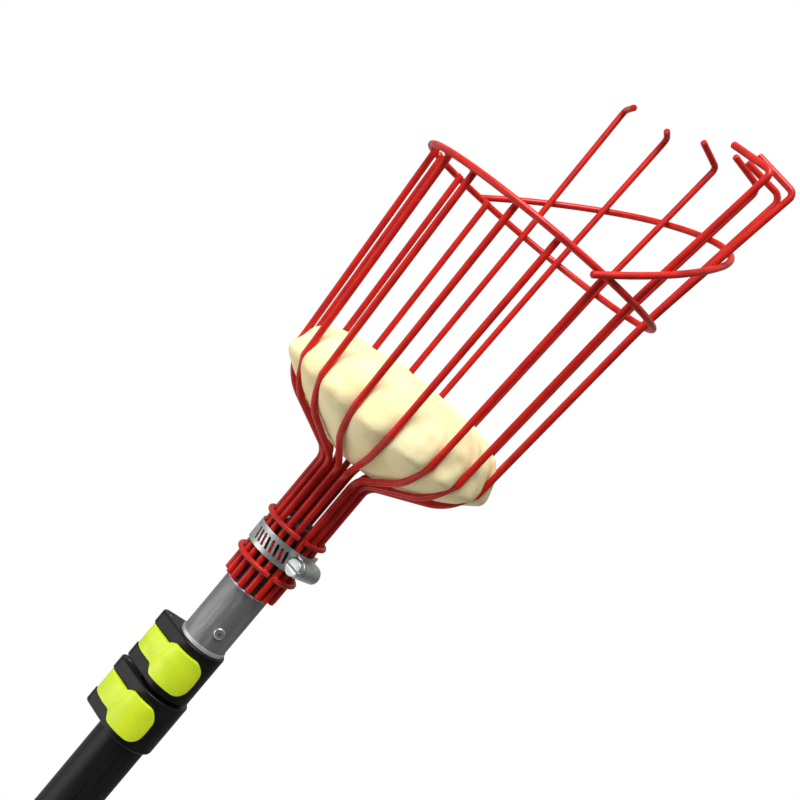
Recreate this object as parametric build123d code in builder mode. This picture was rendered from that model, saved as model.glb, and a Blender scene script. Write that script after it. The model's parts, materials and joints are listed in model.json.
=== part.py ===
"""Fruit picker basket on a three-section telescopic pole. Millimetres.

The pole's axis is Z. The origin is the middle of the butt cap's foot, +Z runs along the pole to
the basket, and +X is the side of the basket where the long tines stand. Everything is at its
collapsed length, with both lock levers shut.
"""

import os
from math import atan, cos, degrees, radians, sin

from build123d import *

os.makedirs("parts", exist_ok=True)

# ---- driving dimensions ----------------------------------------------------------------------
# Pole: three tubes that slide inside each other.
OUTER_R, OUTER_BORE = 14.0, 13.0
MIDDLE_R, MIDDLE_BORE = 12.5, 11.5
INNER_R, INNER_BORE = 11.0, 10.1
GLIDE_PLAY = 0.08  # radial play of a glide in its tube
TUBE_PLAY = 0.3  # radial play of a tube in the collar above its own
FOOT_TO_CAGE = 884.0  # butt cap's foot to the lower ends of the basket wires
TUBE_FOOT = 4.0  # the outer tube stands on the butt cap's floor
MIDDLE_FOOT = 67.0
INNER_FOOT = 125.0

# Lock collars and levers.
COLLAR_HEIGHT = 30.0
COLLAR_GAP = 2.0  # between the two collars of the collapsed pole
COLLAR_SEAT = 8.0  # length of tube held in a collar
LOWER_COLLAR_Z = 783.6
COLLAR_WALL = 2.2
HINGE_STAND_OFF = 2.3  # gap between a collar's ring and its lever's knuckle
HINGE_ANGLE = 145.0
LOWER_SWEEP, UPPER_SWEEP = 119.0, 132.0  # from a hinge pin round to its paddle's free end
NECK_SWEEP = 51.0  # angle from the hinge pin to where the paddle widens
KNUCKLE_R, LUG_R, PIN_R = 3.9, 4.6, 1.5
KNUCKLE_HEIGHT = 14.0
PADDLE_HEIGHT = 21.0
LEVER_THICK = 2.8
LEVER_PLAY = 0.4

# Head: ferrule and sleeve on the inner tube.
FERRULE_R, FERRULE_FLANGE_R = 12.7, 13.2
RIVET_ANGLE, RIVET_HEAD_R, RIVET_SHANK_R = -101.0, 3.0, 1.6

# Basket: coated wire, 16 uprights on one circle. Heights are above the wires' lower ends.
WIRE = 3.5
WIRE_COUNT = 16
WIRE_STEP = 360 / WIRE_COUNT
NECK_R = 14.25
NECK_TOP = 77.5
BOWL_R, BOWL_Z = 50.3, 95.0
KINK_R, KINK_Z = 59.0, 110.5
RIM_WIRE_R, RIM_Z = 67.2, 227.0
WELD = 0.2  # how far two welded wires sink into each other
WELD_TOE = 1.5  # upright ends stand this far above the rim hoop's middle
NECK_BEND, BOWL_BEND, KINK_BEND, RIM_BEND = 9.0, 28.0, 3.5, 300.0

# The seven tines, by their place round the rim counted in wire steps from +X:
# height of the hook above the rim, radius at the hook, reach of the hook, rise of its tip, bend.
TINES = {
    3: (88.0, 78.5, 24.0, -0.5, 3.2),
    2: (90.5, 79.0, 13.5, 0.5, 3.2),
    1: (92.5, 78.7, 25.0, 2.0, 3.0),
    0: (94.0, 80.3, 24.5, 2.0, 5.0),
    -1: (91.0, 79.0, 25.0, 2.0, 5.0),
    -2: (89.5, 81.0, 25.0, 4.5, 3.5),
    -3: (84.0, 79.6, 27.0, 2.0, 3.5),
}
# Hand-bent wires stray a little from even spacing, in degrees.
STRAY = {2: 2.4, -3: -2.6, 1: 0.8, -5: -1.6, -7: -1.0, 4: 0.8, 8: 1.6}

# Guard arch, a hoop tilted up over the tines from one side of the rim to the other.
ARCH_TILT = 35.0
ARCH_HALF_WIDTH, ARCH_LENGTH, ARCH_TOP_R = 72.8, 95.8, 63.2
ARCH_LIFT = 3.0
ARCH_TOES = 12.0, 6.0  # straight ends past the rim, at -Y and at +Y

# Neck hoops and hose clamp.
HOOP_WIRE = 2.6
UPPER_HOOP_Z, LOWER_HOOP_Z = 38.0, 14.0
HOOP_GAP_ANGLE, HOOP_GAP = -98.3, 13.0
BAND_Z, BAND_WIDTH, BAND_THICK = 26.0, 11.6, 0.8
SLOT_PITCH, SLOT_LENGTH, SLOT_WIDTH, SLOT_SLANT = 10.0, 6.8, 1.5, 14.0
SCREW_ANGLE = -64.0
SCREW_R, SCREW_PLAY = 3.6, 0.35
HOUSING_LENGTH, HOUSING_WALL = 13.0, 0.9
TAIL_LENGTH = 10.0

# ---- places worked out from them ---------------------------------------------------------------
CAGE_Z = FOOT_TO_CAGE
UPPER_COLLAR_Z = LOWER_COLLAR_Z + COLLAR_HEIGHT + COLLAR_GAP
FERRULE_Z = UPPER_COLLAR_Z + COLLAR_HEIGHT + TUBE_PLAY
WIRE_OUTER_R = NECK_R + WIRE / 2
SLEEVE_R = NECK_R - WIRE / 2 + 0.05
BAND_OUTER_R = WIRE_OUTER_R + BAND_THICK
SCREW_AXIS_R = BAND_OUTER_R + SCREW_PLAY + SCREW_R
HOUSING_R = SCREW_R + SCREW_PLAY + HOUSING_WALL

made = []


def finish(part, name):
    """Labels a finished piece and writes its STEP file."""
    part.label = name
    export_step(part, f"parts/{name}.step")
    made.append(name)


def radial_plane(angle, z=0.0):
    """Plane through the pole's axis: local X points out at the angle, local Y is up."""
    out = Vector(cos(radians(angle)), sin(radians(angle)), 0)
    return Plane(origin=(0, 0, z), x_dir=out, z_dir=out.cross(Vector(0, 0, 1)))


def tangent_plane(angle, radius, z):
    """Plane facing outwards at a radius: local X runs round the pole, local Y is up."""
    out = Vector(cos(radians(angle)), sin(radians(angle)), 0)
    return Plane(origin=out * radius + Vector(0, 0, z), x_dir=Vector(0, 0, 1).cross(out), z_dir=out)


def tube(radius, bore, bottom, top):
    """Plain round tube standing on the pole's axis."""
    with BuildPart() as made_tube:
        with BuildSketch(Plane.XY.offset(bottom)):
            Circle(radius)
            Circle(bore, mode=Mode.SUBTRACT)
        extrude(amount=top - bottom)
    return made_tube.part


# ---- pole tubes ----------------------------------------------------------------------------------
outer_top = LOWER_COLLAR_Z + COLLAR_SEAT
finish(tube(OUTER_R, OUTER_BORE, TUBE_FOOT, outer_top), "outer_tube")

middle_top = UPPER_COLLAR_Z + COLLAR_SEAT
finish(tube(MIDDLE_R, MIDDLE_BORE, MIDDLE_FOOT, middle_top), "middle_tube")

rivet_z = FERRULE_Z + 12.5
inner_top = CAGE_Z + 42.0
with BuildPart() as inner_tube:
    add(tube(INNER_R, INNER_BORE, INNER_FOOT, inner_top))
    with BuildSketch(tangent_plane(RIVET_ANGLE, INNER_BORE - 1, rivet_z)):
        Circle(RIVET_SHANK_R)
    extrude(amount=3, mode=Mode.SUBTRACT)
finish(inner_tube.part, "inner_tube")


def glide(radius, stem_radius, bore, tube_foot):
    """Plastic plug in a tube's foot: its wide skirt slides in the next tube out."""
    skirt, stem = 12.0, 18.0
    with BuildPart() as plug:
        with BuildSketch(Plane.XY.offset(tube_foot - skirt)):
            Circle(radius)
        extrude(amount=skirt)
        chamfer(plug.edges().sort_by(Axis.Z)[0], 0.6)
        with BuildSketch(Plane.XY.offset(tube_foot)):
            Circle(stem_radius)
        extrude(amount=stem)
        with BuildSketch(Plane.XY.offset(tube_foot - skirt)):
            Circle(bore)
        extrude(amount=skirt + stem, mode=Mode.SUBTRACT)
    return plug.part


finish(glide(OUTER_BORE - GLIDE_PLAY, MIDDLE_BORE, MIDDLE_BORE - 1.6, MIDDLE_FOOT), "middle_glide")
finish(glide(MIDDLE_BORE - GLIDE_PLAY, INNER_BORE, INNER_BORE - 1.6, INNER_FOOT), "inner_glide")

# ---- butt cap and hand grip --------------------------------------------------------------------
CAP_WALL, CAP_HEIGHT, CAP_PLUG = 2.2, 24.0, 18.0
with BuildPart() as butt_cap:
    with BuildSketch():
        Circle(OUTER_R + CAP_WALL)
    extrude(amount=CAP_HEIGHT)
    fillet(butt_cap.edges().sort_by(Axis.Z)[0], 2.5)
    fillet(butt_cap.edges().sort_by(Axis.Z)[-1], 1.0)
    with BuildSketch(Plane.XY.offset(TUBE_FOOT)):
        Circle(OUTER_R)
        Circle(OUTER_BORE, mode=Mode.SUBTRACT)
    extrude(amount=CAP_HEIGHT, mode=Mode.SUBTRACT)
    with BuildSketch(Plane.XY.offset(TUBE_FOOT)):
        Circle(OUTER_BORE - 2)
    extrude(amount=CAP_HEIGHT, mode=Mode.SUBTRACT)
finish(butt_cap.part, "butt_cap")

GRIP_Z, GRIP_LENGTH, GRIP_R, GRIP_GROOVES = 30.0, 130.0, 17.0, 9
groove_pitch = GRIP_LENGTH / (GRIP_GROOVES + 1)
with BuildPart() as hand_grip:
    with BuildSketch(Plane.XY.offset(GRIP_Z)):
        Circle(GRIP_R)
    extrude(amount=GRIP_LENGTH)
    fillet(hand_grip.edges(), 2.0)
    with BuildSketch(Plane.XZ):
        for groove in range(1, GRIP_GROOVES + 1):
            with Locations((GRIP_R + 1.0, GRIP_Z + groove * groove_pitch)):
                Circle(2.0)
    revolve(axis=Axis.Z, mode=Mode.SUBTRACT)
    with BuildSketch(Plane.XY.offset(GRIP_Z)):
        Circle(OUTER_R)
    extrude(amount=GRIP_LENGTH, mode=Mode.SUBTRACT)
finish(hand_grip.part, "hand_grip")


# ---- lock collars, their pads, pins and levers ---------------------------------------------------
PAD_WIDTH, PAD_HEIGHT = 8.0, 10.0
PIN_PLAY = 0.05
PADDLE_CORNER, SHOULDER_CORNER = 7.0, 3.2


def hinge_plane(z):
    """Level plane whose local X points from the pole's axis to the hinge pins."""
    out = Vector(cos(radians(HINGE_ANGLE)), sin(radians(HINGE_ANGLE)), 0)
    return Plane(origin=(0, 0, z), x_dir=out, z_dir=(0, 0, 1))


def lock(name, held_r, sliding_r, base, sweep_angle):
    """One flip lock. The collar is fixed on the tube of radius held_r and locks the one inside it."""
    ring_r = held_r + COLLAR_WALL
    pin_x = ring_r + HINGE_STAND_OFF + KNUCKLE_R
    middle = base + COLLAR_HEIGHT / 2
    mouth = KNUCKLE_HEIGHT + 2 * LEVER_PLAY
    bore = sliding_r + TUBE_PLAY

    with BuildPart() as collar:
        with BuildSketch(hinge_plane(base)):
            Circle(ring_r)
            with Locations((pin_x, 0)):
                Circle(LUG_R)
            make_hull()
        extrude(amount=COLLAR_HEIGHT)
        fillet(collar.edges().group_by(Axis.Z)[0] + collar.edges().group_by(Axis.Z)[-1], 0.8)
        with BuildSketch(hinge_plane(middle - mouth / 2)):
            Circle(pin_x + LUG_R + 1)
            Circle(ring_r, mode=Mode.SUBTRACT)
        extrude(amount=mouth, mode=Mode.SUBTRACT)
        with BuildSketch(hinge_plane(base)):
            Circle(held_r)
        extrude(amount=COLLAR_SEAT, mode=Mode.SUBTRACT)
        with BuildSketch(hinge_plane(base)):
            Circle(bore)
            with Locations((pin_x, 0)):
                Circle(PIN_R)
        extrude(amount=COLLAR_HEIGHT, mode=Mode.SUBTRACT)
        with BuildSketch(hinge_plane(middle - PAD_HEIGHT / 2)):
            with Locations(((bore + ring_r) / 2, 0)):
                Rectangle(2 * (ring_r - bore), PAD_WIDTH)
        extrude(amount=PAD_HEIGHT, mode=Mode.SUBTRACT)
    finish(collar.part, f"{name}_collar")

    with BuildPart() as pad:
        with BuildSketch(hinge_plane(middle - PAD_HEIGHT / 2)):
            Circle(ring_r)
            Circle(bore, mode=Mode.SUBTRACT)
            with Locations(((bore + ring_r) / 2, 0)):
                Rectangle(2 * (ring_r - bore), PAD_WIDTH, mode=Mode.INTERSECT)
        extrude(amount=PAD_HEIGHT)
    finish(pad.part, f"{name}_brake_pad")

    with BuildPart() as pin:
        with BuildSketch(hinge_plane(base + 0.3)):
            with Locations((pin_x, 0)):
                Circle(PIN_R)
        extrude(amount=COLLAR_HEIGHT - 0.6)
        chamfer(pin.edges().group_by(Axis.Z)[0] + pin.edges().group_by(Axis.Z)[-1], 0.3)
    finish(pin.part, f"{name}_hinge_pin")

    inside = ring_r + LEVER_PLAY
    outside = inside + LEVER_THICK
    with BuildPart() as lever:
        with BuildSketch(hinge_plane(middle - KNUCKLE_HEIGHT / 2)):
            with Locations((pin_x, 0)):
                Circle(KNUCKLE_R)
            with PolarLocations(inside + LEVER_THICK / 2, 1, start_angle=NECK_SWEEP):
                Circle(LEVER_THICK / 2)
            make_hull()
            Circle(inside, mode=Mode.SUBTRACT)
        extrude(amount=KNUCKLE_HEIGHT)
        with BuildSketch(hinge_plane(middle - PADDLE_HEIGHT / 2)):
            with BuildLine():
                outer = CenterArc((0, 0), outside, NECK_SWEEP, sweep_angle - NECK_SWEEP)
                inner = CenterArc((0, 0), inside, NECK_SWEEP, sweep_angle - NECK_SWEEP)
                Line(outer @ 0, inner @ 0)
                Line(outer @ 1, inner @ 1)
            make_face()
        extrude(amount=PADDLE_HEIGHT)
        across = [
            edge
            for edge in lever.edges().filter_by(GeomType.LINE)
            if abs(edge.length - LEVER_THICK) < 0.01
            and abs(abs(edge.center().Z - middle) - PADDLE_HEIGHT / 2) < 0.01
        ]
        free_end = Vector(1, 0).rotate(Axis.Z, HINGE_ANGLE + sweep_angle)
        across.sort(key=lambda edge: edge.center().dot(free_end))
        fillet(across[-2:], PADDLE_CORNER)
        with BuildSketch(hinge_plane(middle - KNUCKLE_HEIGHT / 2)):
            with Locations((pin_x, 0)):
                Circle(PIN_R + PIN_PLAY)
        extrude(amount=KNUCKLE_HEIGHT, mode=Mode.SUBTRACT)
    finish(lever.part, f"{name}_lever")


lock("lower", OUTER_R, MIDDLE_R, LOWER_COLLAR_Z, LOWER_SWEEP)
lock("upper", MIDDLE_R, INNER_R, UPPER_COLLAR_Z, UPPER_SWEEP)

# ---- ferrule, rivet and sleeve on the inner tube's top --------------------------------------------
FLANGE_HEIGHT = 2.0
ferrule_top = CAGE_Z - 0.5
with BuildPart() as tip_ferrule:
    with BuildSketch(Plane.XY.offset(FERRULE_Z)):
        Circle(FERRULE_R)
    extrude(amount=ferrule_top - FERRULE_Z)
    with BuildSketch(Plane.XY.offset(FERRULE_Z)):
        Circle(FERRULE_FLANGE_R)
    extrude(amount=FLANGE_HEIGHT)
    chamfer(tip_ferrule.edges().sort_by(Axis.Z)[-1], 0.4)
    with BuildSketch(Plane.XY.offset(FERRULE_Z)):
        Circle(INNER_R)
    extrude(amount=ferrule_top - FERRULE_Z, mode=Mode.SUBTRACT)
    with BuildSketch(tangent_plane(RIVET_ANGLE, INNER_R - 1, rivet_z)):
        Circle(RIVET_SHANK_R)
    extrude(amount=3, mode=Mode.SUBTRACT)
finish(tip_ferrule.part, "tip_ferrule")

RIVET_HEAD_HEIGHT, RIVET_TAIL, RIVET_BORE_R = 1.1, 2.5, 0.9
with BuildPart() as pop_rivet:
    with BuildSketch(tangent_plane(RIVET_ANGLE, FERRULE_R - 0.5, rivet_z)):
        Circle(RIVET_HEAD_R)
    extrude(amount=0.5 + RIVET_HEAD_HEIGHT)
    fillet(pop_rivet.faces().sort_by(SortBy.DISTANCE)[-1].edges(), 0.8)
    with BuildSketch(Plane.XY.offset(FERRULE_Z)):
        Circle(FERRULE_R)
    extrude(amount=ferrule_top - FERRULE_Z, mode=Mode.SUBTRACT)
    with BuildSketch(tangent_plane(RIVET_ANGLE, INNER_BORE - RIVET_TAIL, rivet_z)):
        Circle(RIVET_SHANK_R)
    extrude(amount=FERRULE_R + 0.3 - INNER_BORE + RIVET_TAIL)
    with BuildSketch(tangent_plane(RIVET_ANGLE, INNER_BORE, rivet_z)):
        Circle(RIVET_BORE_R)
    extrude(amount=10, mode=Mode.SUBTRACT)
finish(pop_rivet.part, "pop_rivet")

finish(tube(SLEEVE_R, INNER_R, ferrule_top, CAGE_Z + 40.0), "tip_sleeve")


# ---- basket wires ----------------------------------------------------------------------------------
def upright(angle, points, bends):
    """One wire of the basket, in the plane through the axis at that angle. Points are (radius, height)."""
    with BuildPart() as wire:
        with BuildLine(radial_plane(angle, CAGE_Z)) as path:
            FilletPolyline(*points, radius=bends)
        with BuildSketch(Plane(origin=path.line @ 0, z_dir=path.line % 0)):
            Circle(WIRE / 2)
        sweep()
        for end in wire.faces().filter_by(GeomType.PLANE):
            chamfer(end.edges(), 0.5)
    return wire.part


bowl = [(NECK_R, 0), (NECK_R, NECK_TOP), (BOWL_R, BOWL_Z), (KINK_R, KINK_Z)]
lean = (RIM_WIRE_R - KINK_R) / (RIM_Z - KINK_Z)
rim_top = (RIM_WIRE_R + WELD_TOE * lean, RIM_Z + WELD_TOE)
short_count = 0
for place in range(-WIRE_COUNT // 2 + 1, WIRE_COUNT // 2 + 1):
    angle = place * WIRE_STEP + STRAY.get(place, 0.0)
    if place in TINES:
        height, hook_r, reach, rise, hook_bend = TINES[place]
        hook = [(hook_r, RIM_Z + height), (hook_r - reach, RIM_Z + height + rise)]
        points = bowl + [(RIM_WIRE_R, RIM_Z)] + hook
        bends = [NECK_BEND, BOWL_BEND, KINK_BEND, RIM_BEND, hook_bend]
        finish(upright(angle, points, bends), f"tine_{place + 4}")
    else:
        short_count += 1
        bends = [NECK_BEND, BOWL_BEND, KINK_BEND]
        finish(upright(angle, bowl + [rim_top], bends), f"cage_wire_{short_count}")

rim_hoop_r = RIM_WIRE_R + WIRE - WELD
with BuildPart() as rim_hoop:
    with BuildSketch(Plane.XZ):
        with Locations((rim_hoop_r, CAGE_Z + RIM_Z)):
            Circle(WIRE / 2)
    revolve(axis=Axis.Z)
finish(rim_hoop.part, "rim_hoop")

# The arch is three arcs that meet tangent, with a short straight toe at each end.
rise = ARCH_LENGTH - ARCH_TOP_R
side_r = (ARCH_HALF_WIDTH**2 + rise**2 - ARCH_TOP_R**2) / (2 * (ARCH_HALF_WIDTH - ARCH_TOP_R))
side_angle = degrees(atan(rise / (side_r - ARCH_HALF_WIDTH)))
tilt = radians(ARCH_TILT)
arch_plane = Plane(
    origin=(0, 0, CAGE_Z + RIM_Z + ARCH_LIFT), x_dir=(0, 1, 0), z_dir=(sin(tilt), 0, -cos(tilt))
)
with BuildPart() as guard_arch:
    with BuildLine(arch_plane) as path:
        toe = Line((ARCH_HALF_WIDTH, -ARCH_TOES[1]), (ARCH_HALF_WIDTH, 0))
        CenterArc((ARCH_HALF_WIDTH - side_r, 0), side_r, 0, side_angle)
        CenterArc((0, rise), ARCH_TOP_R, side_angle, 180 - 2 * side_angle)
        CenterArc((side_r - ARCH_HALF_WIDTH, 0), side_r, 180 - side_angle, side_angle)
        Line((-ARCH_HALF_WIDTH, 0), (-ARCH_HALF_WIDTH, -ARCH_TOES[0]))
    with BuildSketch(Plane(origin=toe @ 0, z_dir=toe % 0)):
        Circle(WIRE / 2)
    sweep()
    for end in guard_arch.faces().filter_by(GeomType.PLANE):
        chamfer(end.edges(), 0.5)
finish(guard_arch.part, "guard_arch")

neck_hoop_r = WIRE_OUTER_R + HOOP_WIRE / 2 - WELD
for name, height in (("lower", LOWER_HOOP_Z), ("upper", UPPER_HOOP_Z)):
    with BuildPart() as neck_hoop:
        with BuildSketch(radial_plane(HOOP_GAP_ANGLE + HOOP_GAP / 2, CAGE_Z + height)):
            with Locations((neck_hoop_r, 0)):
                Circle(HOOP_WIRE / 2)
        revolve(axis=Axis.Z, revolution_arc=360 - HOOP_GAP)
        for end in neck_hoop.faces().filter_by(GeomType.PLANE):
            chamfer(end.edges(), 0.4)
    finish(neck_hoop.part, f"{name}_neck_hoop")

# ---- foam pad in the bowl --------------------------------------------------------------------------
FOAM_PLAY = 0.3
FOAM_CROWN_Z, FOAM_EDGE_Z, FOAM_FLOOR_R = 134.0, 123.0, 18.0
foam_gap = WIRE / 2 + FOAM_PLAY


def inset(before, corner, after):
    """The corner of a wire's path, moved inwards so that both its runs are foam_gap away."""
    run_in = (Vector(*corner) - Vector(*before)).normalized()
    run_out = (Vector(*after) - Vector(*corner)).normalized()
    side_in, side_out = run_in.rotate(Axis.Z, 90), run_out.rotate(Axis.Z, 90)
    moved = Vector(*corner) + (side_in + side_out) * (foam_gap / (1 + side_in.dot(side_out)))
    return moved.X, moved.Y


neck_point, bowl_point, kink_point = bowl[1:]
bowl_inset = inset(neck_point, bowl_point, kink_point)
kink_inset = inset(bowl_point, kink_point, rim_top)
floor_slope = (BOWL_Z - NECK_TOP) / (BOWL_R - NECK_R)
foam_floor = bowl_inset[1] - (bowl_inset[0] - FOAM_FLOOR_R) * floor_slope
foam_edge_r = kink_inset[0]
crown_rise = FOAM_CROWN_Z - FOAM_EDGE_Z
crown_r = (foam_edge_r**2 + crown_rise**2) / (2 * crown_rise)
crown_start = degrees(atan((crown_r - crown_rise) / foam_edge_r))
with BuildPart() as foam_pad:
    with BuildSketch(radial_plane(0, CAGE_Z)):
        with BuildLine():
            side = FilletPolyline(
                (FOAM_FLOOR_R, foam_floor),
                bowl_inset,
                kink_inset,
                (foam_edge_r, FOAM_EDGE_Z),
                radius=[BOWL_BEND - foam_gap, KINK_BEND - foam_gap],
            )
            CenterArc((0, FOAM_CROWN_Z - crown_r), crown_r, crown_start, 90 - crown_start)
            Polyline((0, FOAM_CROWN_Z), (0, foam_floor), side @ 0)
        make_face()
    revolve(axis=Axis.Z)
finish(foam_pad.part, "foam_pad")

# ---- hose clamp round the neck ---------------------------------------------------------------------
band_middle = CAGE_Z + BAND_Z
SLOT_COUNT, FIRST_SLOT = 8, -173.0
TAIL_ANGLE = SCREW_ANGLE + 24.0
with BuildPart() as clamp_band:
    with BuildSketch(Plane.XY.offset(band_middle - BAND_WIDTH / 2)):
        Circle(BAND_OUTER_R)
        Circle(WIRE_OUTER_R, mode=Mode.SUBTRACT)
    extrude(amount=BAND_WIDTH)
    for slot in range(SLOT_COUNT):
        with BuildSketch(tangent_plane(FIRST_SLOT + slot * SLOT_PITCH, NECK_R, band_middle)):
            SlotOverall(SLOT_LENGTH, SLOT_WIDTH, rotation=90 + SLOT_SLANT)
        extrude(amount=2 * BAND_THICK + WIRE, mode=Mode.SUBTRACT)
    with BuildSketch(tangent_plane(TAIL_ANGLE, WIRE_OUTER_R, band_middle)):
        with Locations((TAIL_LENGTH / 2, 0)):
            RectangleRounded(TAIL_LENGTH, BAND_WIDTH, 2.5)
        with Locations((TAIL_LENGTH / 4, 0)):
            Rectangle(TAIL_LENGTH / 2, BAND_WIDTH)
    extrude(amount=BAND_THICK)
finish(clamp_band.part, "clamp_band")

END_WALL = 0.9
out = Vector(cos(radians(SCREW_ANGLE)), sin(radians(SCREW_ANGLE)), 0)
along = Vector(0, 0, 1).cross(out)
far_end = Plane(
    origin=along * (HOUSING_LENGTH / 2) + Vector(0, 0, band_middle), x_dir=out, z_dir=along * -1
)
with BuildPart() as clamp_housing:
    with BuildSketch(far_end):
        with Locations((SCREW_AXIS_R, 0)):
            Circle(HOUSING_R)
        with Locations(((SCREW_AXIS_R + NECK_R) / 2, 0)):
            Rectangle(SCREW_AXIS_R - NECK_R, 2 * HOUSING_R)
    extrude(amount=HOUSING_LENGTH)
    with BuildSketch(far_end.offset(END_WALL)):
        with Locations((SCREW_AXIS_R, 0)):
            Circle(SCREW_R + SCREW_PLAY)
        with Locations(((SCREW_AXIS_R + NECK_R) / 2, 0)):
            Rectangle(SCREW_AXIS_R - NECK_R, 2 * (SCREW_R + SCREW_PLAY))
    extrude(amount=HOUSING_LENGTH, mode=Mode.SUBTRACT)
    with BuildSketch(Plane.XY.offset(band_middle - BAND_WIDTH)):
        Circle(BAND_OUTER_R)
    extrude(amount=2 * BAND_WIDTH, mode=Mode.SUBTRACT)
finish(clamp_housing.part, "clamp_housing")

THREAD_PITCH, THREAD_DEPTH = 1.6, 0.6
WASHER_R, WASHER_THICK = 4.7, 0.9
HEX_R, HEX_HEIGHT = 4.5, 4.2
DRIVER_SLOT, DRIVER_DEPTH = 1.1, 1.6
shank_start = END_WALL + SCREW_PLAY
shank_end = HOUSING_LENGTH + SCREW_PLAY
turns = int((shank_end - shank_start) / THREAD_PITCH)
screw_base = Plane(origin=far_end.origin + out * SCREW_AXIS_R, x_dir=out, z_dir=along * -1)
with BuildPart() as clamp_screw:
    with BuildSketch(Plane(origin=screw_base.origin, x_dir=out, z_dir=out.cross(along * -1))):
        with BuildLine():
            teeth = [(0, shank_start)]
            for turn in range(turns):
                teeth.append((SCREW_R - THREAD_DEPTH, shank_start + turn * THREAD_PITCH))
                teeth.append((SCREW_R, shank_start + (turn + 0.5) * THREAD_PITCH))
            teeth.append((SCREW_R - THREAD_DEPTH, shank_start + turns * THREAD_PITCH))
            teeth.append((SCREW_R - THREAD_DEPTH, shank_end))
            teeth.append((0, shank_end))
            Polyline(*teeth, close=True)
        make_face()
    revolve(axis=Axis(screw_base.origin, along * -1))
    with BuildSketch(screw_base.offset(shank_end)):
        Circle(WASHER_R)
    extrude(amount=WASHER_THICK)
    with BuildSketch(screw_base.offset(shank_end + WASHER_THICK)):
        RegularPolygon(HEX_R, 6)
    extrude(amount=HEX_HEIGHT)
    with BuildSketch(screw_base.offset(shank_end + WASHER_THICK + HEX_HEIGHT - DRIVER_DEPTH)):
        Rectangle(2 * HEX_R, DRIVER_SLOT)
    extrude(amount=DRIVER_DEPTH, mode=Mode.SUBTRACT)
finish(clamp_screw.part, "clamp_screw")

print(len(made), "pieces:", ", ".join(made))
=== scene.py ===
"""Fruit picker basket on a telescopic pole: its looks, in metres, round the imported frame."""

import json
from math import atan2, cos, exp, hypot, pi, radians, sin, sqrt

import bpy
from mathutils import Euler, Matrix, Vector, noise


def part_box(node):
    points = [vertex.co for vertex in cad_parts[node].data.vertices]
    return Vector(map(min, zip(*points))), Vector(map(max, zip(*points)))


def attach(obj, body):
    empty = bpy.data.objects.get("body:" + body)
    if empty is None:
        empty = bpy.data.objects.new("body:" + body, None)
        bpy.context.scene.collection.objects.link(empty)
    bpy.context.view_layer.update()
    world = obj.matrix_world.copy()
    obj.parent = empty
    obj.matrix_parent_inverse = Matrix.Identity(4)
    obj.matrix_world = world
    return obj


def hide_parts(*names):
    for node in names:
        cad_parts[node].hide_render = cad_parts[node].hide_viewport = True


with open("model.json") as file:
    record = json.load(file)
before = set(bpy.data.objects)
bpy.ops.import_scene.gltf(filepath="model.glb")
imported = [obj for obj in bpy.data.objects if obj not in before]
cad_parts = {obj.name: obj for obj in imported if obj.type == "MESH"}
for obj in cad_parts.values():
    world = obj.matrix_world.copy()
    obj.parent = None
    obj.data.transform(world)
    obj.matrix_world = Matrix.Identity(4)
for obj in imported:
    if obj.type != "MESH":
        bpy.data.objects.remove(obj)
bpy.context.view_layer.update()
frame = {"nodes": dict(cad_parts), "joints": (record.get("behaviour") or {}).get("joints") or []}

# ---- camera ------------------------------------------------------------------------------------
# It stands level with the top of the bowl, a little above it, and looks slightly down at the
# basket. It is rolled over, so that the upright pole climbs from the lower left of its view.
cage_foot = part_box("cage_wire_4")[0].z
STAND_AZIMUTH, STAND_DISTANCE, STAND_RISE = radians(-29.47), 0.6555, 0.1736
LOOK_AZIMUTH, LOOK_DOWN, ROLL = radians(-29.3), radians(4.6), radians(40.0)
SENSOR_WIDTH, FOCAL_LENGTH = 36.0, 59.4
camera = bpy.data.objects.new("camera", bpy.data.cameras.new("camera"))
bpy.context.scene.collection.objects.link(camera)
camera.data.sensor_width = SENSOR_WIDTH
camera.data.lens = FOCAL_LENGTH
camera.location = (
    sin(STAND_AZIMUTH) * STAND_DISTANCE,
    -cos(STAND_AZIMUTH) * STAND_DISTANCE,
    cage_foot + STAND_RISE,
)
level = Euler((pi / 2 - LOOK_DOWN, 0.0, LOOK_AZIMUTH)).to_matrix()
camera.rotation_euler = (level @ Matrix.Rotation(ROLL, 3, "Z")).to_euler()
bpy.context.scene.camera = camera

# ---- studio ------------------------------------------------------------------------------------
# A white light tent with a darker opening behind the camera, a large soft box above the basket's
# mouth, a weaker one on the left, and a pale round floor under the butt.
bpy.context.scene.view_settings.view_transform = "Standard"
# Brightness of the tent's wall and of its opening, and the share left towards the view's foot.
TENT_LIGHT, TENT_SHADE, TENT_BASE = 0.60, 0.10, 0.30
# Cosines from the way to the camera, and from upwards in its view, between which each one fades.
OPENING_FROM, OPENING_TO = 0.62, 0.98
BASE_FROM, BASE_TO = -0.7, 0.35
BASKET_MIDDLE_RISE = 0.12


def link_all(tree, *pairs):
    """Links sockets in a node tree, each pair from an output to an input."""
    for start, end in pairs:
        tree.links.new(start, end)


def add_range(tree, low, high, smooth=True):
    """Map Range node that stretches low..high to 0..1."""
    spread = tree.nodes.new("ShaderNodeMapRange")
    spread.interpolation_type = "SMOOTHSTEP" if smooth else "LINEAR"
    spread.inputs["From Min"].default_value = low
    spread.inputs["From Max"].default_value = high
    return spread


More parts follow.
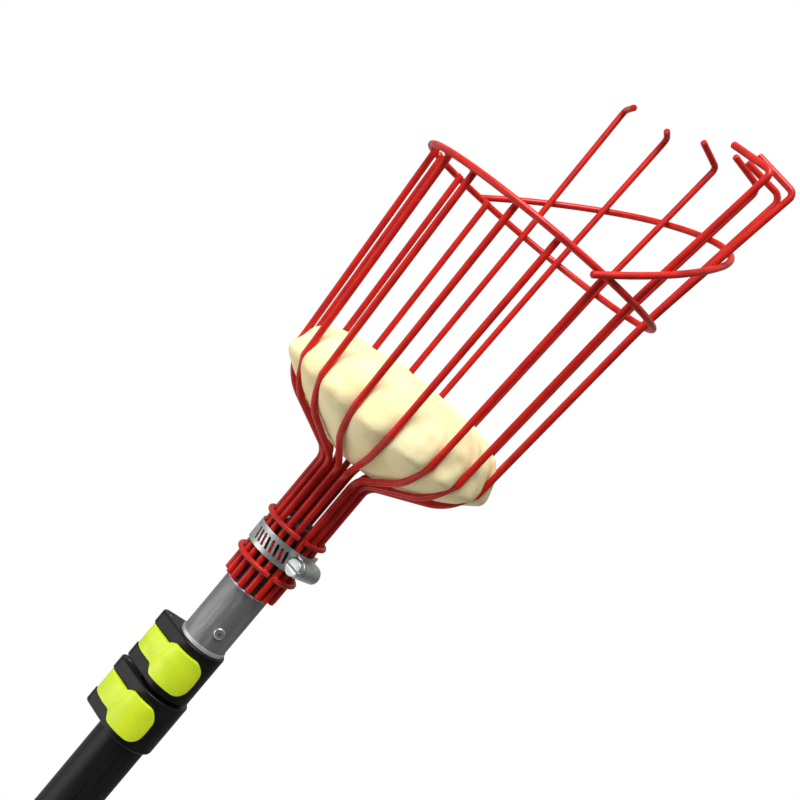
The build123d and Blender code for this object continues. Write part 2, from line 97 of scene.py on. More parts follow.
world = bpy.data.worlds.new("light_tent")
bpy.context.scene.world = world
world.use_nodes = True
tent = world.node_tree
view_turn = camera.rotation_euler.to_matrix()
view_right, view_up, toward_camera = view_turn.col
backdrop = tent.nodes["Background"]
backdrop.inputs["Color"].default_value = (1.0, 1.0, 1.0, 1.0)
backdrop.inputs["Strength"].default_value = 1.0
tent_wall = tent.nodes.new("ShaderNodeBackground")
direction = tent.nodes.new("ShaderNodeTexCoord")
facing = tent.nodes.new("ShaderNodeVectorMath")
facing.operation = "DOT_PRODUCT"
facing.inputs[1].default_value = Vector((camera.location.x, camera.location.y, 0)).normalized()
opening = add_range(tent, OPENING_FROM, OPENING_TO)
opening.inputs["To Min"].default_value = TENT_LIGHT
opening.inputs["To Max"].default_value = TENT_SHADE
upward = tent.nodes.new("ShaderNodeVectorMath")
upward.operation = "DOT_PRODUCT"
upward.inputs[1].default_value = view_up
base = add_range(tent, BASE_FROM, BASE_TO, smooth=False)
base.inputs["To Min"].default_value = TENT_BASE
strength = tent.nodes.new("ShaderNodeMath")
strength.operation = "MULTIPLY"
ray = tent.nodes.new("ShaderNodeLightPath")
seen = tent.nodes.new("ShaderNodeMixShader")
link_all(
    tent,
    (direction.outputs["Generated"], facing.inputs[0]),
    (facing.outputs["Value"], opening.inputs["Value"]),
    (direction.outputs["Generated"], upward.inputs[0]),
    (upward.outputs["Value"], base.inputs["Value"]),
    (opening.outputs["Result"], strength.inputs[0]),
    (base.outputs["Result"], strength.inputs[1]),
    (strength.outputs["Value"], tent_wall.inputs["Strength"]),
    (ray.outputs["Is Camera Ray"], seen.inputs["Fac"]),
    (tent_wall.outputs["Background"], seen.inputs[1]),
    (backdrop.outputs["Background"], seen.inputs[2]),
    (seen.outputs["Shader"], tent.nodes["World Output"].inputs["Surface"]),
)
basket_middle = Vector((0, 0, cage_foot + BASKET_MIDDLE_RISE))


def soft_box(name, toward, distance, size, power):
    """Square area light that shines on the basket from the given direction."""
    lamp = bpy.data.objects.new(name, bpy.data.lights.new(name, "AREA"))
    bpy.context.scene.collection.objects.link(lamp)
    lamp.data.size = size
    lamp.data.energy = power
    offset = Vector(toward).normalized() * distance
    lamp.location = basket_middle + offset
    lamp.rotation_euler = (-offset).to_track_quat("-Z", "Y").to_euler()


def clear_selection():
    """Nothing selected, so that the next operator acts on its own piece only."""
    bpy.ops.object.select_all(action="DESELECT")


key_way = view_up * 1.0 + view_right * 0.45 + toward_camera * 0.75
side_way = view_up * 0.15 - view_right * 1.0 + toward_camera * 0.3
soft_box("key_light", key_way, distance=1.3, size=0.7, power=24.0)
soft_box("side_light", side_way, distance=1.4, size=0.9, power=5.0)

FLOOR_RADIUS, FLOOR_DROP = 1.2, 0.0005
clear_selection()
bpy.ops.mesh.primitive_circle_add(
    vertices=128, radius=FLOOR_RADIUS, fill_type="NGON", location=(0, 0, -FLOOR_DROP)
)
floor = bpy.context.object
floor.name = "floor"
floor_paint = bpy.data.materials.new("floor_paint")
floor_paint.use_nodes = True
floor_shader = floor_paint.node_tree.nodes["Principled BSDF"]
floor_shader.inputs["Base Color"].default_value = (0.9, 0.9, 0.9, 1)
floor_shader.inputs["Roughness"].default_value = 0.8
floor.data.materials.append(floor_paint)

# ---- black pole tubes --------------------------------------------------------------------------
# The outer and middle tubes are drawn aluminium, anodised satin black. Drawing leaves faint lines
# along the tube, and sliding in and out leaves greyer streaks.
nodes = frame["nodes"]


def add_sockets(group, direction, sockets):
    """Gives a node group its named inputs or outputs, with their starting values."""
    for name, kind, value in sockets:
        socket = group.interface.new_socket(name, in_out=direction, socket_type=f"NodeSocket{kind}")
        if value is not None:
            socket.default_value = value


def add_noise(tree, detail):
    """Noise texture node with that much detail."""
    texture = tree.nodes.new("ShaderNodeTexNoise")
    texture.inputs["Detail"].default_value = detail
    return texture


def add_mix(tree):
    """Mix node for two colours. Its sockets are returned as factor, first, second and result."""
    mix = tree.nodes.new("ShaderNodeMix")
    mix.data_type = "RGBA"
    return mix.inputs[0], mix.inputs[6], mix.inputs[7], mix.outputs[2]


# Colour patches, uneven gloss and fine grain: every finish on the tool has its own amounts.
# The noise levels between which a patch comes up, and between which the gloss changes:
PATCH_FROM, PATCH_TO = 0.42, 0.64
GLOSS_FROM, GLOSS_TO = 0.3, 0.7
surface = bpy.data.node_groups.new("surface", "ShaderNodeTree")
add_sockets(
    surface,
    "INPUT",
    [
        ("Place", "Vector", None),
        ("Colour", "Color", (0.5, 0.5, 0.5, 1)),
        ("Patch Colour", "Color", (0.4, 0.4, 0.4, 1)),
        ("Patch Scale", "Float", 60.0),
        ("Smoothest", "Float", 0.3),
        ("Roughest", "Float", 0.5),
        ("Grain Scale", "Float", 1500.0),
        ("Grain Depth", "Float", 0.00005),
    ],
)
add_sockets(
    surface,
    "OUTPUT",
    [("Colour", "Color", None), ("Roughness", "Float", None), ("Normal", "Vector", None)],
)
given = surface.nodes.new("NodeGroupInput").outputs
result = surface.nodes.new("NodeGroupOutput").inputs
patches, grain = add_noise(surface, 4.0), add_noise(surface, 3.0)
patch_edge = add_range(surface, PATCH_FROM, PATCH_TO)
gloss_range = add_range(surface, GLOSS_FROM, GLOSS_TO, smooth=False)
factor, first, second, mixed = add_mix(surface)
grain_bump = surface.nodes.new("ShaderNodeBump")
link_all(
    surface,
    (given["Place"], patches.inputs["Vector"]),
    (given["Patch Scale"], patches.inputs["Scale"]),
    (patches.outputs["Fac"], patch_edge.inputs["Value"]),
    (patch_edge.outputs["Result"], factor),
    (given["Colour"], first),
    (given["Patch Colour"], second),
    (mixed, result["Colour"]),
    (patches.outputs["Fac"], gloss_range.inputs["Value"]),
    (given["Smoothest"], gloss_range.inputs["To Min"]),
    (given["Roughest"], gloss_range.inputs["To Max"]),
    (gloss_range.outputs["Result"], result["Roughness"]),
    (given["Place"], grain.inputs["Vector"]),
    (given["Grain Scale"], grain.inputs["Scale"]),
    (grain.outputs["Fac"], grain_bump.inputs["Height"]),
    (given["Grain Depth"], grain_bump.inputs["Distance"]),
    (grain_bump.outputs["Normal"], result["Normal"]),
)


def new_finish(name, metallic, stretch, **values):
    """Material on the surface group. Stretch squeezes the pattern along X, Y and Z."""
    material = bpy.data.materials.new(name)
    material.use_nodes = True
    tree = material.node_tree
    shader = tree.nodes["Principled BSDF"]
    shader.inputs["Metallic"].default_value = metallic
    place = tree.nodes.new("ShaderNodeTexCoord")
    mapping = tree.nodes.new("ShaderNodeMapping")
    mapping.inputs["Scale"].default_value = stretch
    group = tree.nodes.new("ShaderNodeGroup")
    group.node_tree = surface
    for socket, value in values.items():
        label = socket.replace("_", " ")
        is_colour = isinstance(value, tuple)
        group.inputs[label].default_value = (*value, 1.0) if is_colour else value
    link_all(
        tree,
        (place.outputs["Object"], mapping.inputs["Vector"]),
        (mapping.outputs["Vector"], group.inputs["Place"]),
        (group.outputs["Colour"], shader.inputs["Base Color"]),
        (group.outputs["Roughness"], shader.inputs["Roughness"]),
        (group.outputs["Normal"], shader.inputs["Normal"]),
    )
    return material


def paint(material, *names):
    """Puts a material on frame nodes, in every slot that they have."""
    for name in names:
        for slot in nodes[name].material_slots:
            slot.material = material


black_anodised = new_finish(
    "black_anodised",
    metallic=0.0,
    stretch=(1.0, 1.0, 0.03),
    Colour=(0.0035, 0.0035, 0.0038),
    Patch_Colour=(0.0075, 0.0075, 0.008),
    Patch_Scale=700.0,
    Smoothest=0.30,
    Roughest=0.46,
    Grain_Scale=2400.0,
    Grain_Depth=0.00004,
)
black_anodised.node_tree.nodes["Principled BSDF"].inputs["Specular IOR Level"].default_value = 0.22
paint(black_anodised, "outer_tube", "middle_tube")

# ---- inner tube, ferrule and rivet -------------------------------------------------------------
# Bare aluminium. The ferrule is pressed on the inner tube's top and held by a pop rivet. Its skin
# is dull grey, with grain lines along it and a few brighter patches, and has a painted highlight
# at its top rim and round its flange.
MM = 0.001


def finish_colour(tree):
    """Colour output of the surface group in a finish's node tree."""
    return next(node for node in tree.nodes if node.type == "GROUP").outputs["Colour"]


dull_aluminium = new_finish(
    "dull_aluminium",
    metallic=0.75,
    stretch=(1.0, 1.0, 0.12),
    Colour=(0.25, 0.243, 0.247),
    Patch_Colour=(0.34, 0.333, 0.338),
    Patch_Scale=260.0,
    Smoothest=0.48,
    Roughest=0.62,
    Grain_Scale=1500.0,
    Grain_Depth=0.00012,
)
# Painted highlight: the ferrule's top rim and the flange at its foot are painted bright grey where light
# catches those edges.
ferrule_low, ferrule_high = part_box("tip_ferrule")
FLANGE, RIM_HIGHLIGHT = 2.4 * MM, 0.9 * MM
ferrule_tree = dull_aluminium.node_tree
ferrule_place = ferrule_tree.nodes.new("ShaderNodeTexCoord")
ferrule_height = ferrule_tree.nodes.new("ShaderNodeSeparateXYZ")
top_highlight = add_range(ferrule_tree, ferrule_high.z - RIM_HIGHLIGHT, ferrule_high.z - RIM_HIGHLIGHT * 0.6)
foot_highlight = add_range(ferrule_tree, ferrule_low.z + FLANGE, ferrule_low.z + FLANGE * 0.7)
any_highlight = ferrule_tree.nodes.new("ShaderNodeMath")
any_highlight.operation = "MAXIMUM"
highlight_factor, dull, highlight_colour, highlighted_colour = add_mix(ferrule_tree)
# Bright grey of the painted highlight on the two rims.
highlight_colour.default_value = (0.72, 0.72, 0.72, 1.0)
link_all(
    ferrule_tree,
    (ferrule_place.outputs["Object"], ferrule_height.inputs["Vector"]),
    (ferrule_height.outputs["Z"], top_highlight.inputs["Value"]),
    (ferrule_height.outputs["Z"], foot_highlight.inputs["Value"]),
    (top_highlight.outputs["Result"], any_highlight.inputs[0]),
    (foot_highlight.outputs["Result"], any_highlight.inputs[1]),
    (any_highlight.outputs["Value"], highlight_factor),
    (finish_colour(ferrule_tree), dull),
    (highlighted_colour, ferrule_tree.nodes["Principled BSDF"].inputs["Base Color"]),
)
bare_aluminium = new_finish(
    "bare_aluminium",
    metallic=1.0,
    stretch=(1.0, 1.0, 0.05),
    Colour=(0.62, 0.63, 0.64),
    Patch_Colour=(0.50, 0.51, 0.52),
    Patch_Scale=500.0,
    Smoothest=0.25,
    Roughest=0.40,
    Grain_Scale=2600.0,
    Grain_Depth=0.00004,
)
bright_aluminium = new_finish(
    "bright_aluminium",
    metallic=1.0,
    stretch=(1.0, 1.0, 1.0),
    Colour=(0.80, 0.80, 0.80),
    Patch_Colour=(0.68, 0.68, 0.68),
    Patch_Scale=400.0,
    Smoothest=0.22,
    Roughest=0.35,
    Grain_Scale=3000.0,
    Grain_Depth=0.00003,
)
paint(dull_aluminium, "tip_ferrule")
paint(bare_aluminium, "inner_tube")
paint(bright_aluminium, "pop_rivet")

# ---- rubber, grip, glides and pads -------------------------------------------------------------
# The butt cap, hand grip, neck sleeve and brake pads are moulded in black rubber and pushed on or
# into the tubes. The glides are grey acetal plugs in the feet of the two sliding tubes.
black_rubber = new_finish(
    "black_rubber",
    metallic=0.0,
    stretch=(1.0, 1.0, 1.0),
    Colour=(0.008, 0.008, 0.008),
    Patch_Colour=(0.014, 0.0135, 0.013),
    Patch_Scale=90.0,
    Smoothest=0.66,
    Roughest=0.84,
    Grain_Scale=2200.0,
    Grain_Depth=0.00005,
)
paint(black_rubber, "butt_cap", "hand_grip", "tip_sleeve", "lower_brake_pad", "upper_brake_pad")
grey_acetal = new_finish(
    "grey_acetal",
    metallic=0.0,
    stretch=(1.0, 1.0, 1.0),
    Colour=(0.52, 0.52, 0.50),
    Patch_Colour=(0.45, 0.45, 0.43),
    Patch_Scale=120.0,
    Smoothest=0.35,
    Roughest=0.5,
    Grain_Scale=1400.0,
    Grain_Depth=0.00004,
)
paint(grey_acetal, "middle_glide", "inner_glide")

# ---- lock collars and hinge pins ---------------------------------------------------------------
# The collars are injection-moulded black nylon with a spark-etched satin skin. The hinge pins are
# plain steel.
black_nylon = new_finish(
    "black_nylon",
    metallic=0.0,
    stretch=(1.0, 1.0, 1.0),
    Colour=(0.0035, 0.0035, 0.0040),
    Patch_Colour=(0.0070, 0.0070, 0.0076),
    Patch_Scale=140.0,
    Smoothest=0.28,
    Roughest=0.42,
    Grain_Scale=2200.0,
    Grain_Depth=0.00008,
)
black_nylon.node_tree.nodes["Principled BSDF"].inputs["Specular IOR Level"].default_value = 0.25
paint(black_nylon, "lower_collar", "upper_collar")
pin_steel = new_finish(
    "pin_steel",
    metallic=1.0,
    stretch=(1.0, 1.0, 1.0),
    Colour=(0.55, 0.55, 0.56),
    Patch_Colour=(0.42, 0.42, 0.43),
    Patch_Scale=500.0,
    Smoothest=0.25,
    Roughest=0.45,
    Grain_Scale=3000.0,
    Grain_Depth=0.00003,
)
paint(pin_steel, "lower_hinge_pin", "upper_hinge_pin")

# ---- basket wires ------------------------------------------------------------------------------
# The sixteen uprights, the hoops and the guard arch are steel wire, welded and then powder coated
# a glossy red. The coat has a slight orange peel, and faint patches that are darker and duller.
red_powder = new_finish(
    "red_powder",
    metallic=0.0,
    stretch=(1.0, 1.0, 1.0),
    Colour=(0.56, 0.0130, 0.0060),
    Patch_Colour=(0.45, 0.0075, 0.0048),
    Patch_Scale=110.0,
    Smoothest=0.30,
    Roughest=0.46,
    Grain_Scale=700.0,
    Grain_Depth=0.00004,
)
red_shader = red_powder.node_tree.nodes["Principled BSDF"]
red_shader.inputs["Specular IOR Level"].default_value = 0.28
red_shader.inputs["Coat Weight"].default_value = 0.12
red_shader.inputs["Coat Roughness"].default_value = 0.22
wire_names = [name for name in nodes if name.startswith(("cage_wire_", "tine_"))]
hoop_names = ["rim_hoop", "guard_arch", "lower_neck_hoop", "upper_neck_hoop"]
paint(red_powder, *wire_names, *hoop_names)

# ---- hose clamp --------------------------------------------------------------------------------
# The clamp that squeezes the neck on the pole is zinc-plated spring steel: a slotted band goes
# round the wires and through a pressed housing. Its worm screw has a section of its own.
zinc_plate = new_finish(
    "zinc_plate",
    metallic=1.0,
    stretch=(0.25, 0.25, 1.0),
    Colour=(0.60, 0.635, 0.62),
    Patch_Colour=(0.47, 0.50, 0.49),
    Patch_Scale=420.0,
    Smoothest=0.34,
    Roughest=0.52,
    Grain_Scale=2600.0,
    Grain_Depth=0.00005,
)
paint(zinc_plate, "clamp_band", "clamp_housing")

# ---- weld beads --------------------------------------------------------------------------------
# Each upright is spot welded to the rim hoop and to both neck hoops. A weld leaves a small uneven
# bead in the corners of the crossing, under the same red coat as the wires.
WIRE_R, NECK_WIRE_R = 1.75 * MM, 14.25 * MM
# Half sizes of a bead: away from the pole, round it and upright.
RIM_BEAD = 1.5 * MM, 2.1 * MM, 2.1 * MM
NECK_BEAD = 1.1 * MM, 1.7 * MM, 1.6 * MM
BEAD_UNEVENNESS, BEAD_LUMPS, BEAD_TURN = 0.16, 1.7, 1.3
# The neck hoops are open on one side, where no weld holds them.
HOOP_OPENING, HOOP_OPENING_HALF = radians(-98.3), radians(8.0)


def middle_height(name):
    """Height of the middle of a frame node's box."""
    low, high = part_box(name)
    return (low.z + high.z) / 2


def wire_angle(name):
    """Angle round the pole of an upright, from the middle of its mesh."""
    points = [vertex.co for vertex in nodes[name].data.vertices]
    return atan2(sum(point.y for point in points), sum(point.x for point in points))


def new_piece(piece, name, material, slot, body, *replaced):
    """Names a finished piece, applies its place, paints it, hangs it on its body and hides the frame parts
    that it replaces.
    """
    clear_selection()
    piece.select_set(True)
    bpy.context.view_layer.objects.active = piece
    bpy.ops.object.transform_apply(location=True, rotation=True, scale=True)
    bpy.ops.object.shade_smooth_by_angle(angle=radians(40))
    piece.name = piece.data.name = name
    piece.data.materials.clear()
    piece.data.materials.append(material)
    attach(piece, body)
    if replaced:
        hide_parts(*replaced)


clear_selection()
bpy.ops.mesh.primitive_ico_sphere_add(subdivisions=3, radius=1.0)
first_bead = bpy.context.object
for vertex in first_bead.data.vertices:
    vertex.co *= 1.0 + BEAD_UNEVENNESS * noise.noise(vertex.co * BEAD_LUMPS)


def weld_beads(name, places, size):
    """Beads at (radius, angle, height), each turned a little further, joined in one piece."""
    beads = []
    for turn, (radius, angle, height) in enumerate(places):
        bead = first_bead.copy()
        bead.data = first_bead.data.copy()
        bpy.context.scene.collection.objects.link(bead)
        spot = Matrix.Translation((radius * cos(angle), radius * sin(angle), height))
        lie = Matrix.Rotation(angle, 4, "Z") @ Matrix.Diagonal((*size, 1.0))
        bead.data.transform(spot @ lie @ Matrix.Rotation(turn * BEAD_TURN, 4, "X"))
        beads.append(bead)
    clear_selection()
    for bead in beads:
        bead.select_set(True)
    bpy.context.view_layer.objects.active = beads[0]
    bpy.ops.object.join()
    new_piece(beads[0], name, red_powder, "red_wire", "head")


angles = {name: wire_angle(name) for name in wire_names}
rim_height = middle_height("rim_hoop")
rim_weld_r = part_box("rim_hoop")[1].x - 2 * WIRE_R
rim_places = [(rim_weld_r, angle, rim_height) for angle in angles.values()]
weld_beads("rim_welds", rim_places, RIM_BEAD)
neck_places = [
    (NECK_WIRE_R + WIRE_R, angle, middle_height(hoop))
    for hoop in ("lower_neck_hoop", "upper_neck_hoop")
    for angle in angles.values()
    if abs(angle - HOOP_OPENING) > HOOP_OPENING_HALF
]
weld_beads("neck_welds", neck_places, NECK_BEAD)
bpy.data.objects.remove(first_bead)

# ---- foam pad ----------------------------------------------------------------------------------
# A round of soft cream polyurethane foam, pushed down into the bowl so that fruit lands gently. It
# swells out between the wires into sixteen lobes and is pinched in by each wire. It is cut, not
# moulded, so its skin shows open pores and hand-torn edges. The creases where the wires pinch it
# are painted a darker tan as painted shade.
FOAM_AROUND, FOAM_UP = 288, 112
# Radius and height above the wires' lower ends, from the middle of the floor to the crown:
# halfway between two wires, and at a wire.
LOBE = [
    (0.0, 83.0), (12.0, 82.2), (26.0, 86.4), (40.0, 92.8), (50.2, 98.2), (57.6, 102.9), (61.9, 107.0),
    (62.3, 111.6), (60.2, 117.4), (57.4, 123.0), (52.4, 127.6), (44.0, 130.8), (30.0, 133.0), (15.0, 134.0),
    (0.0, 134.4),
]
PINCH = [
    (0.0, 84.0), (12.0, 82.4), (26.0, 86.4), (40.0, 92.6), (48.6, 97.0), (53.2, 102.4), (55.9, 107.4),
    (57.1, 112.0), (57.5, 117.4), (55.8, 122.8), (51.2, 127.4), (43.4, 130.6), (29.8, 132.9), (15.0, 134.0),
    (0.0, 134.4),
]
PINCH_WIDTH, PINCH_SHARPNESS = 4.6, 1.2
CROWN_TILT, CROWN_TILT_FROM, CROWN_TILT_FADE = 0.034, 112.0, 15.0
LUMP_SIZE, LUMP_HEIGHT, LUMP_FULL_R = 21.0, 2.2, 30.0
TEAR_SIZE, TEAR_HEIGHT = 6.5, 0.7
# Painted crease shade: the radius where it starts and over which it fades in, and the mask values between
# which it comes up.
CREASE_SHADE_FROM_R, CREASE_SHADE_FADE, CREASE_SHADE_FAINT, CREASE_SHADE_FULL = 25.0, 25.0, 0.35, 1.1
# Pores: their size, how much painted shade their middles get, and the cell distance where it ends.
PORE_SCALE, PORE_SHADE, PORE_EDGE = 1250.0, 0.55, 0.45


def on_curve(points, share):
    """Point on a smooth curve through the points, at that share of the way along them."""
    place = share * (len(points) - 1)
    index = min(int(place), len(points) - 2)
    t = place - index
    before, start, end, after = (points[min(max(index + k, 0), len(points) - 1)] for k in (-1, 0, 1, 2))
    return tuple(
        0.5 * (2 * b + (c - a) * t + (2 * a - 5 * b + 4 * c - d) * t**2 + (3 * b - a - 3 * c + d) * t**3)
        for a, b, c, d in zip(before, start, end, after)
    )


clear_selection()
bpy.ops.mesh.primitive_uv_sphere_add(segments=FOAM_AROUND, ring_count=FOAM_UP, radius=1.0)
foam = bpy.context.object
view_side = Vector((view_right.x, view_right.y, 0)).normalized()
crease_shade = foam.data.attributes.new("crease_shade", "FLOAT", "POINT")
for vertex in foam.data.vertices:
    angle = atan2(vertex.co.y, vertex.co.x)
    share = min(max(atan2(hypot(vertex.co.x, vertex.co.y), -vertex.co.z) / pi, 0.0), 1.0)
    lobe_r, lobe_z = on_curve(LOBE, share)
    pinch_r, pinch_z = on_curve(PINCH, share)
    turns = [abs((angle - wire + pi) % (2 * pi) - pi) for wire in angles.values()]
    aside = min(turns) * max(lobe_r, 1.0)
    pinch = exp(-((aside / PINCH_WIDTH) ** PINCH_SHARPNESS))
    radius = lobe_r + (pinch_r - lobe_r) * pinch
    height = lobe_z + (pinch_z - lobe_z) * pinch
    spot = Vector((cos(angle) * radius, sin(angle) * radius, height))
    free = 1.0 - pinch
    lump = noise.noise(spot / LUMP_SIZE) * LUMP_HEIGHT + noise.noise(spot / TEAR_SIZE) * TEAR_HEIGHT
    upper = min(max((height - CROWN_TILT_FROM) / CROWN_TILT_FADE, 0.0), 1.0)
    spot += Vector((cos(angle), sin(angle), 0)) * lump * free * min(radius / LUMP_FULL_R, 1.0)
    spot.z += spot.dot(view_side) * CROWN_TILT * upper + lump * upper
    vertex.co = spot * MM + Vector((0, 0, cage_foot))
    # Mask of the painted crease shade: strongest where a wire pinches the foam, faded towards the middle.
    outward = min(max((lobe_r - CREASE_SHADE_FROM_R) / CREASE_SHADE_FADE, 0.0), 1.0)
    crease_shade.data[vertex.index].value = pinch * outward

foam_skin = new_finish(
    "foam_skin",
    metallic=0.0,
    stretch=(1.0, 1.0, 1.0),
    Colour=(0.97, 0.845, 0.50),
    Patch_Colour=(0.94, 0.78, 0.41),
    Patch_Scale=34.0,
    Smoothest=0.85,
    Roughest=0.98,
    Grain_Scale=900.0,
    Grain_Depth=0.00018,
)
foam_tree = foam_skin.node_tree
foam_shader = foam_tree.nodes["Principled BSDF"]
foam_shader.inputs["Specular IOR Level"].default_value = 0.15
foam_shader.inputs["Subsurface Weight"].default_value = 0.25
foam_shader.inputs["Subsurface Scale"].default_value = 0.004
foam_shader.inputs["Subsurface Radius"].default_value = (1.0, 0.7, 0.4)
crease_shade_mask = foam_tree.nodes.new("ShaderNodeAttribute")
crease_shade_mask.attribute_name = "crease_shade"
crease_shade_spread = add_range(foam_tree, CREASE_SHADE_FAINT, CREASE_SHADE_FULL)
crease_shade_factor, foam_unshaded, painted_crease_shade, foam_colour = add_mix(foam_tree)
# Darker tan of the painted shade in the creases.
painted_crease_shade.default_value = (0.90, 0.73, 0.42, 1.0)
# Painted shade in the pores: each cell's middle is mixed towards a darker tan.
pores = foam_tree.nodes.new("ShaderNodeTexVoronoi")
pores.inputs["Scale"].default_value = PORE_SCALE
foam_place = foam_tree.nodes.new("ShaderNodeTexCoord")
pore_dip = add_range(foam_tree, 0.0, PORE_EDGE)
pore_factor, painted_pore_shade, cell_wall, porous_colour = add_mix(foam_tree)
pore_dip.inputs["To Min"].default_value = PORE_SHADE
# Darker tan of the painted pore shade.
painted_pore_shade.default_value = (0.70, 0.52, 0.26, 1.0)
link_all(
    foam_tree,
    (crease_shade_mask.outputs["Fac"], crease_shade_spread.inputs["Value"]),
    (crease_shade_spread.outputs["Result"], crease_shade_factor),
    (finish_colour(foam_tree), foam_unshaded),
    (foam_place.outputs["Object"], pores.inputs["Vector"]),
    (pores.outputs["Distance"], pore_dip.inputs["Value"]),
    (pore_dip.outputs["Result"], pore_factor),
    (foam_colour, cell_wall),
    (porous_colour, foam_shader.inputs["Base Color"]),
)
new_piece(foam, "foam_lobes", foam_skin, "foam", "head", "foam_pad")

# ---- lock levers -------------------------------------------------------------------------------
# Flip levers moulded in fluorescent yellow-green nylon. A barrel turns on the hinge pin, a narrow
# neck comes out of the collar's mouth, and a wide thumb paddle follows the collar round. A shallow
# thumb dent crosses the shoulders.
KNUCKLE_R, PIN_HOLE_R, NECK_HALF, PADDLE_HALF = 3.9, 1.55, 6.9, 10.35
SHELL, ROOT_SHELL, ROOT_END = 2.8, 9.6, 44.0
SHOULDER_START, SHOULDER_END, END_CORNER = 45.0, 61.0, 7.0
DENT, DENT_AT, DENT_WIDTH, DENT_SLANT, CROWN = 0.6, 50.0, 6.5, 7.0, 0.25
LAYERS = (0.0, 0.22, 0.78, 1.0)
COLUMNS, ROWS = 44, 16
# Tube under each collar, the collar's wall with its play, and how far each paddle goes round.
OUTER_TUBE_R, MIDDLE_TUBE_R, COLLAR_AND_PLAY = 14.0, 12.5, 2.65
LOWER_SWEEP, UPPER_SWEEP = 119.0, 132.0
hinges = {joint["name"]: joint for joint in frame["joints"]}
fluorescent_nylon = new_finish(
    "fluorescent_nylon",
    metallic=0.0,
    stretch=(1.0, 1.0, 1.0),
    Colour=(0.66, 0.82, 0.018),
    Patch_Colour=(0.58, 0.76, 0.014),
    Patch_Scale=90.0,
    Smoothest=0.30,
    Roughest=0.44,
    Grain_Scale=1800.0,
    Grain_Depth=0.00005,
)


def ramp(value, start, end):
    """Smooth 0 to 1 between start and end."""
    t = min(max((value - start) / (end - start), 0.0), 1.0)
    return t * t * (3 - 2 * t)


def half_height(turn, inside, sweep):
    """Half the lever's height at an angle from its hinge: neck, shoulders, paddle, round corners."""
    half = NECK_HALF + (PADDLE_HALF - NECK_HALF) * ramp(turn, SHOULDER_START, SHOULDER_END)
    left = radians(sweep - turn) * (inside + SHELL)
    if left < END_CORNER:
        half -= END_CORNER - sqrt(max(END_CORNER**2 - (END_CORNER - left) ** 2, 0.0))
    return half


def cut_or_join(piece, tool, operation):
    """Boolean of a tool object on a piece, applied, with the tool removed."""
    modifier = piece.modifiers.new("shape", "BOOLEAN")
    modifier.operation = operation
    modifier.solver = "EXACT"
    modifier.object = tool
    bpy.context.view_layer.objects.active = piece
    bpy.ops.object.modifier_apply(modifier=modifier.name)
    bpy.data.objects.remove(tool)


def lever(node, inside, sweep):
    """One lever, round the hinge of its own joint. Inside is its inner radius in millimetres."""
    hinge = Vector(hinges[f"{node}_hinge"]["pos_m"])
    hinge_angle = atan2(hinge.y, hinge.x)
    clear_selection()
    bpy.ops.mesh.primitive_grid_add(x_subdivisions=COLUMNS, y_subdivisions=ROWS, size=2.0)
    piece = bpy.context.object
    bpy.ops.object.mode_set(mode="EDIT")
    for below, above in zip(LAYERS, LAYERS[1:]):
        bpy.ops.mesh.select_all(action="DESELECT")
        bpy.ops.object.mode_set(mode="OBJECT")
        for face in piece.data.polygons:
            face.select = all(abs(piece.data.vertices[v].co.z - below) < 1e-6 for v in face.vertices)
        bpy.ops.object.mode_set(mode="EDIT")
        bpy.ops.mesh.select_mode(type="FACE")
        bpy.ops.mesh.extrude_region_move(TRANSFORM_OT_translate={"value": (0, 0, above - below)})
    bpy.ops.mesh.select_all(action="SELECT")
    bpy.ops.mesh.normals_make_consistent(inside=False)
    bpy.ops.object.mode_set(mode="OBJECT")
    for vertex in piece.data.vertices:
        along, across, layer = (vertex.co.x + 1) / 2, sin(vertex.co.y * pi / 2), vertex.co.z
        turn = sweep * sin(along * pi / 2)
        height = across * half_height(turn, inside, sweep)
        shell = SHELL + (ROOT_SHELL - SHELL) * (1 - ramp(turn, 0.0, ROOT_END))
        dent = DENT * exp(-(((turn - DENT_AT - DENT_SLANT * across) / DENT_WIDTH) ** 2))
        radius = inside + layer * (shell + CROWN * (1 - across**2) - dent)
        angle = hinge_angle + radians(turn)
        vertex.co = (radius * cos(angle) * MM, radius * sin(angle) * MM, hinge.z + height * MM)
    smooth = piece.modifiers.new("smooth", "SUBSURF")
    smooth.levels = smooth.render_levels = 2
    bpy.ops.object.modifier_apply(modifier=smooth.name)
    clear_selection()
    bpy.ops.mesh.primitive_cylinder_add(
        vertices=64, radius=KNUCKLE_R * MM, depth=2 * NECK_HALF * MM, location=hinge
    )
    cut_or_join(piece, bpy.context.object, "UNION")
    clear_selection()
    bpy.ops.mesh.primitive_cylinder_add(
        vertices=48, radius=PIN_HOLE_R * MM, depth=4 * NECK_HALF * MM, location=hinge
    )
    cut_or_join(piece, bpy.context.object, "DIFFERENCE")
    new_piece(piece, f"{node}_paddle", fluorescent_nylon, "lever_plastic", node, node)


lever("lower_lever", OUTER_TUBE_R + COLLAR_AND_PLAY, LOWER_SWEEP)
lever("upper_lever", MIDDLE_TUBE_R + COLLAR_AND_PLAY, UPPER_SWEEP)

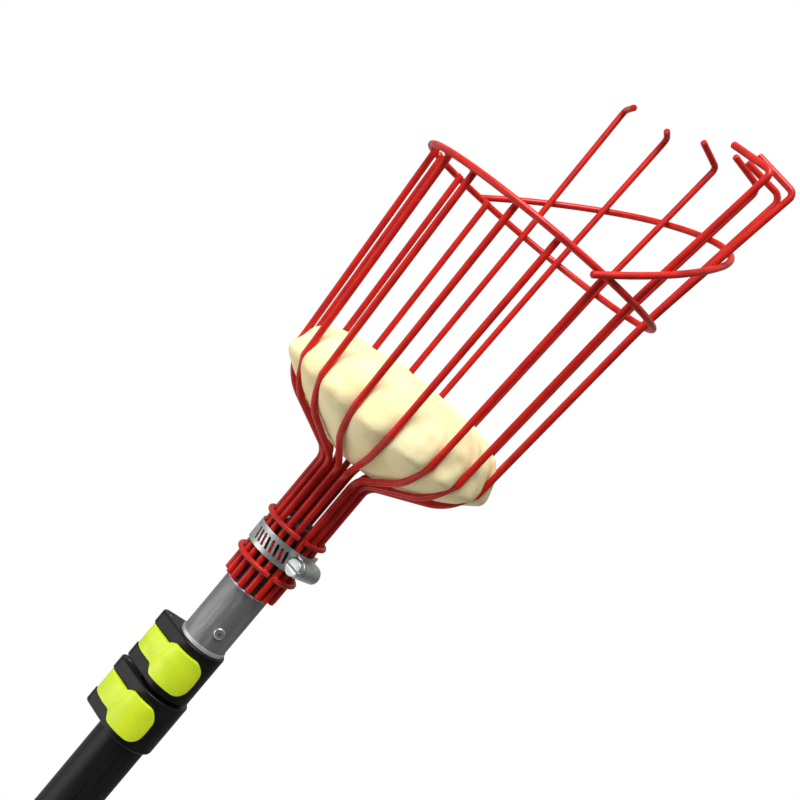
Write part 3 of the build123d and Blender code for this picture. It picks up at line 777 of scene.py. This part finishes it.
# ---- clamp screw -------------------------------------------------------------------------------
# The worm screw that draws the band tight is turned and rolled steel, zinc plated with the rest: a
# threaded shank in the housing and a round slotted head outside it.
CORE_R, CREST_R, THREAD_PITCH, THREAD_HALF = 3.0, 3.6, 1.6, 0.6
HEAD_R, HEAD_HEIGHT, HEAD_EDGE = 4.6, 4.0, 0.55
WASHER_R, WASHER_HEIGHT, WASHER_EDGE = 4.75, 1.1, 0.25
SHANK_EDGE, SINK = 0.3, 0.1
DRIVER_SLOT, DRIVER_DEPTH = 1.15, 1.5
turning = hinges["clamp_screw_turn"]
screw_way = Vector(turning["axis"]).normalized()
screw_place = Vector(turning["pos_m"])
reaches = [(v.co - screw_place).dot(screw_way) / MM for v in nodes["clamp_screw"].data.vertices]
shank_start, head_end = min(reaches), max(reaches)
head_start = head_end - HEAD_HEIGHT
washer_start = head_start - WASHER_HEIGHT


def turned(radius, start, end, edge):
    """Cylinder on the screw's axis between two reaches, with its rims bevelled."""
    clear_selection()
    bpy.ops.mesh.primitive_cylinder_add(
        vertices=72,
        radius=radius * MM,
        depth=(end - start) * MM,
        location=(0, 0, (start + end) / 2 * MM),
    )
    piece = bpy.context.object
    bevel = piece.modifiers.new("edge", "BEVEL")
    bevel.width, bevel.segments = edge * MM, 4
    bpy.ops.object.modifier_apply(modifier=bevel.name)
    return piece


screw_head = turned(HEAD_R, head_start, head_end, HEAD_EDGE)
clear_selection()
bpy.ops.mesh.primitive_cube_add(
    size=1.0,
    location=(0, 0, head_end * MM),
    scale=(DRIVER_SLOT * MM, 3 * HEAD_R * MM, 2 * DRIVER_DEPTH * MM),
)
cut_or_join(screw_head, bpy.context.object, "DIFFERENCE")
clear_selection()
bpy.ops.mesh.primitive_circle_add(vertices=3, radius=THREAD_HALF * MM, fill_type="NOTHING")
thread = bpy.context.object
for vertex, (radius, height) in zip(
    thread.data.vertices,
    ((CORE_R - SINK, -THREAD_HALF), (CREST_R, 0.0), (CORE_R - SINK, THREAD_HALF)),
):
    vertex.co = (radius * MM, 0, (shank_start + THREAD_HALF + height) * MM)
winding = thread.modifiers.new("winding", "SCREW")
winding.screw_offset = THREAD_PITCH * MM
winding.iterations = int((washer_start - shank_start) / THREAD_PITCH) - 1
winding.steps = winding.render_steps = 40
bpy.ops.object.modifier_apply(modifier=winding.name)
bpy.ops.object.mode_set(mode="EDIT")
bpy.ops.mesh.select_mode(type="EDGE")
bpy.ops.mesh.select_all(action="DESELECT")
bpy.ops.mesh.select_non_manifold()
bpy.ops.mesh.fill()
bpy.ops.mesh.select_all(action="SELECT")
bpy.ops.mesh.normals_make_consistent(inside=False)
bpy.ops.object.mode_set(mode="OBJECT")
shank = turned(CORE_R, shank_start, head_start, SHANK_EDGE)
washer = turned(WASHER_R, washer_start, head_start + SINK, WASHER_EDGE)
clear_selection()
for piece in (screw_head, thread, shank, washer):
    piece.select_set(True)
bpy.context.view_layer.objects.active = screw_head
bpy.ops.object.transform_apply(location=True, rotation=True, scale=True)
bpy.ops.object.join()
screw_head.data.transform(
    Matrix.Translation(screw_place) @ screw_way.to_track_quat("Z", "X").to_matrix().to_4x4()
)
new_piece(screw_head, "worm_screw", zinc_plate, "zinc_steel", "clamp_screw", "clamp_screw")
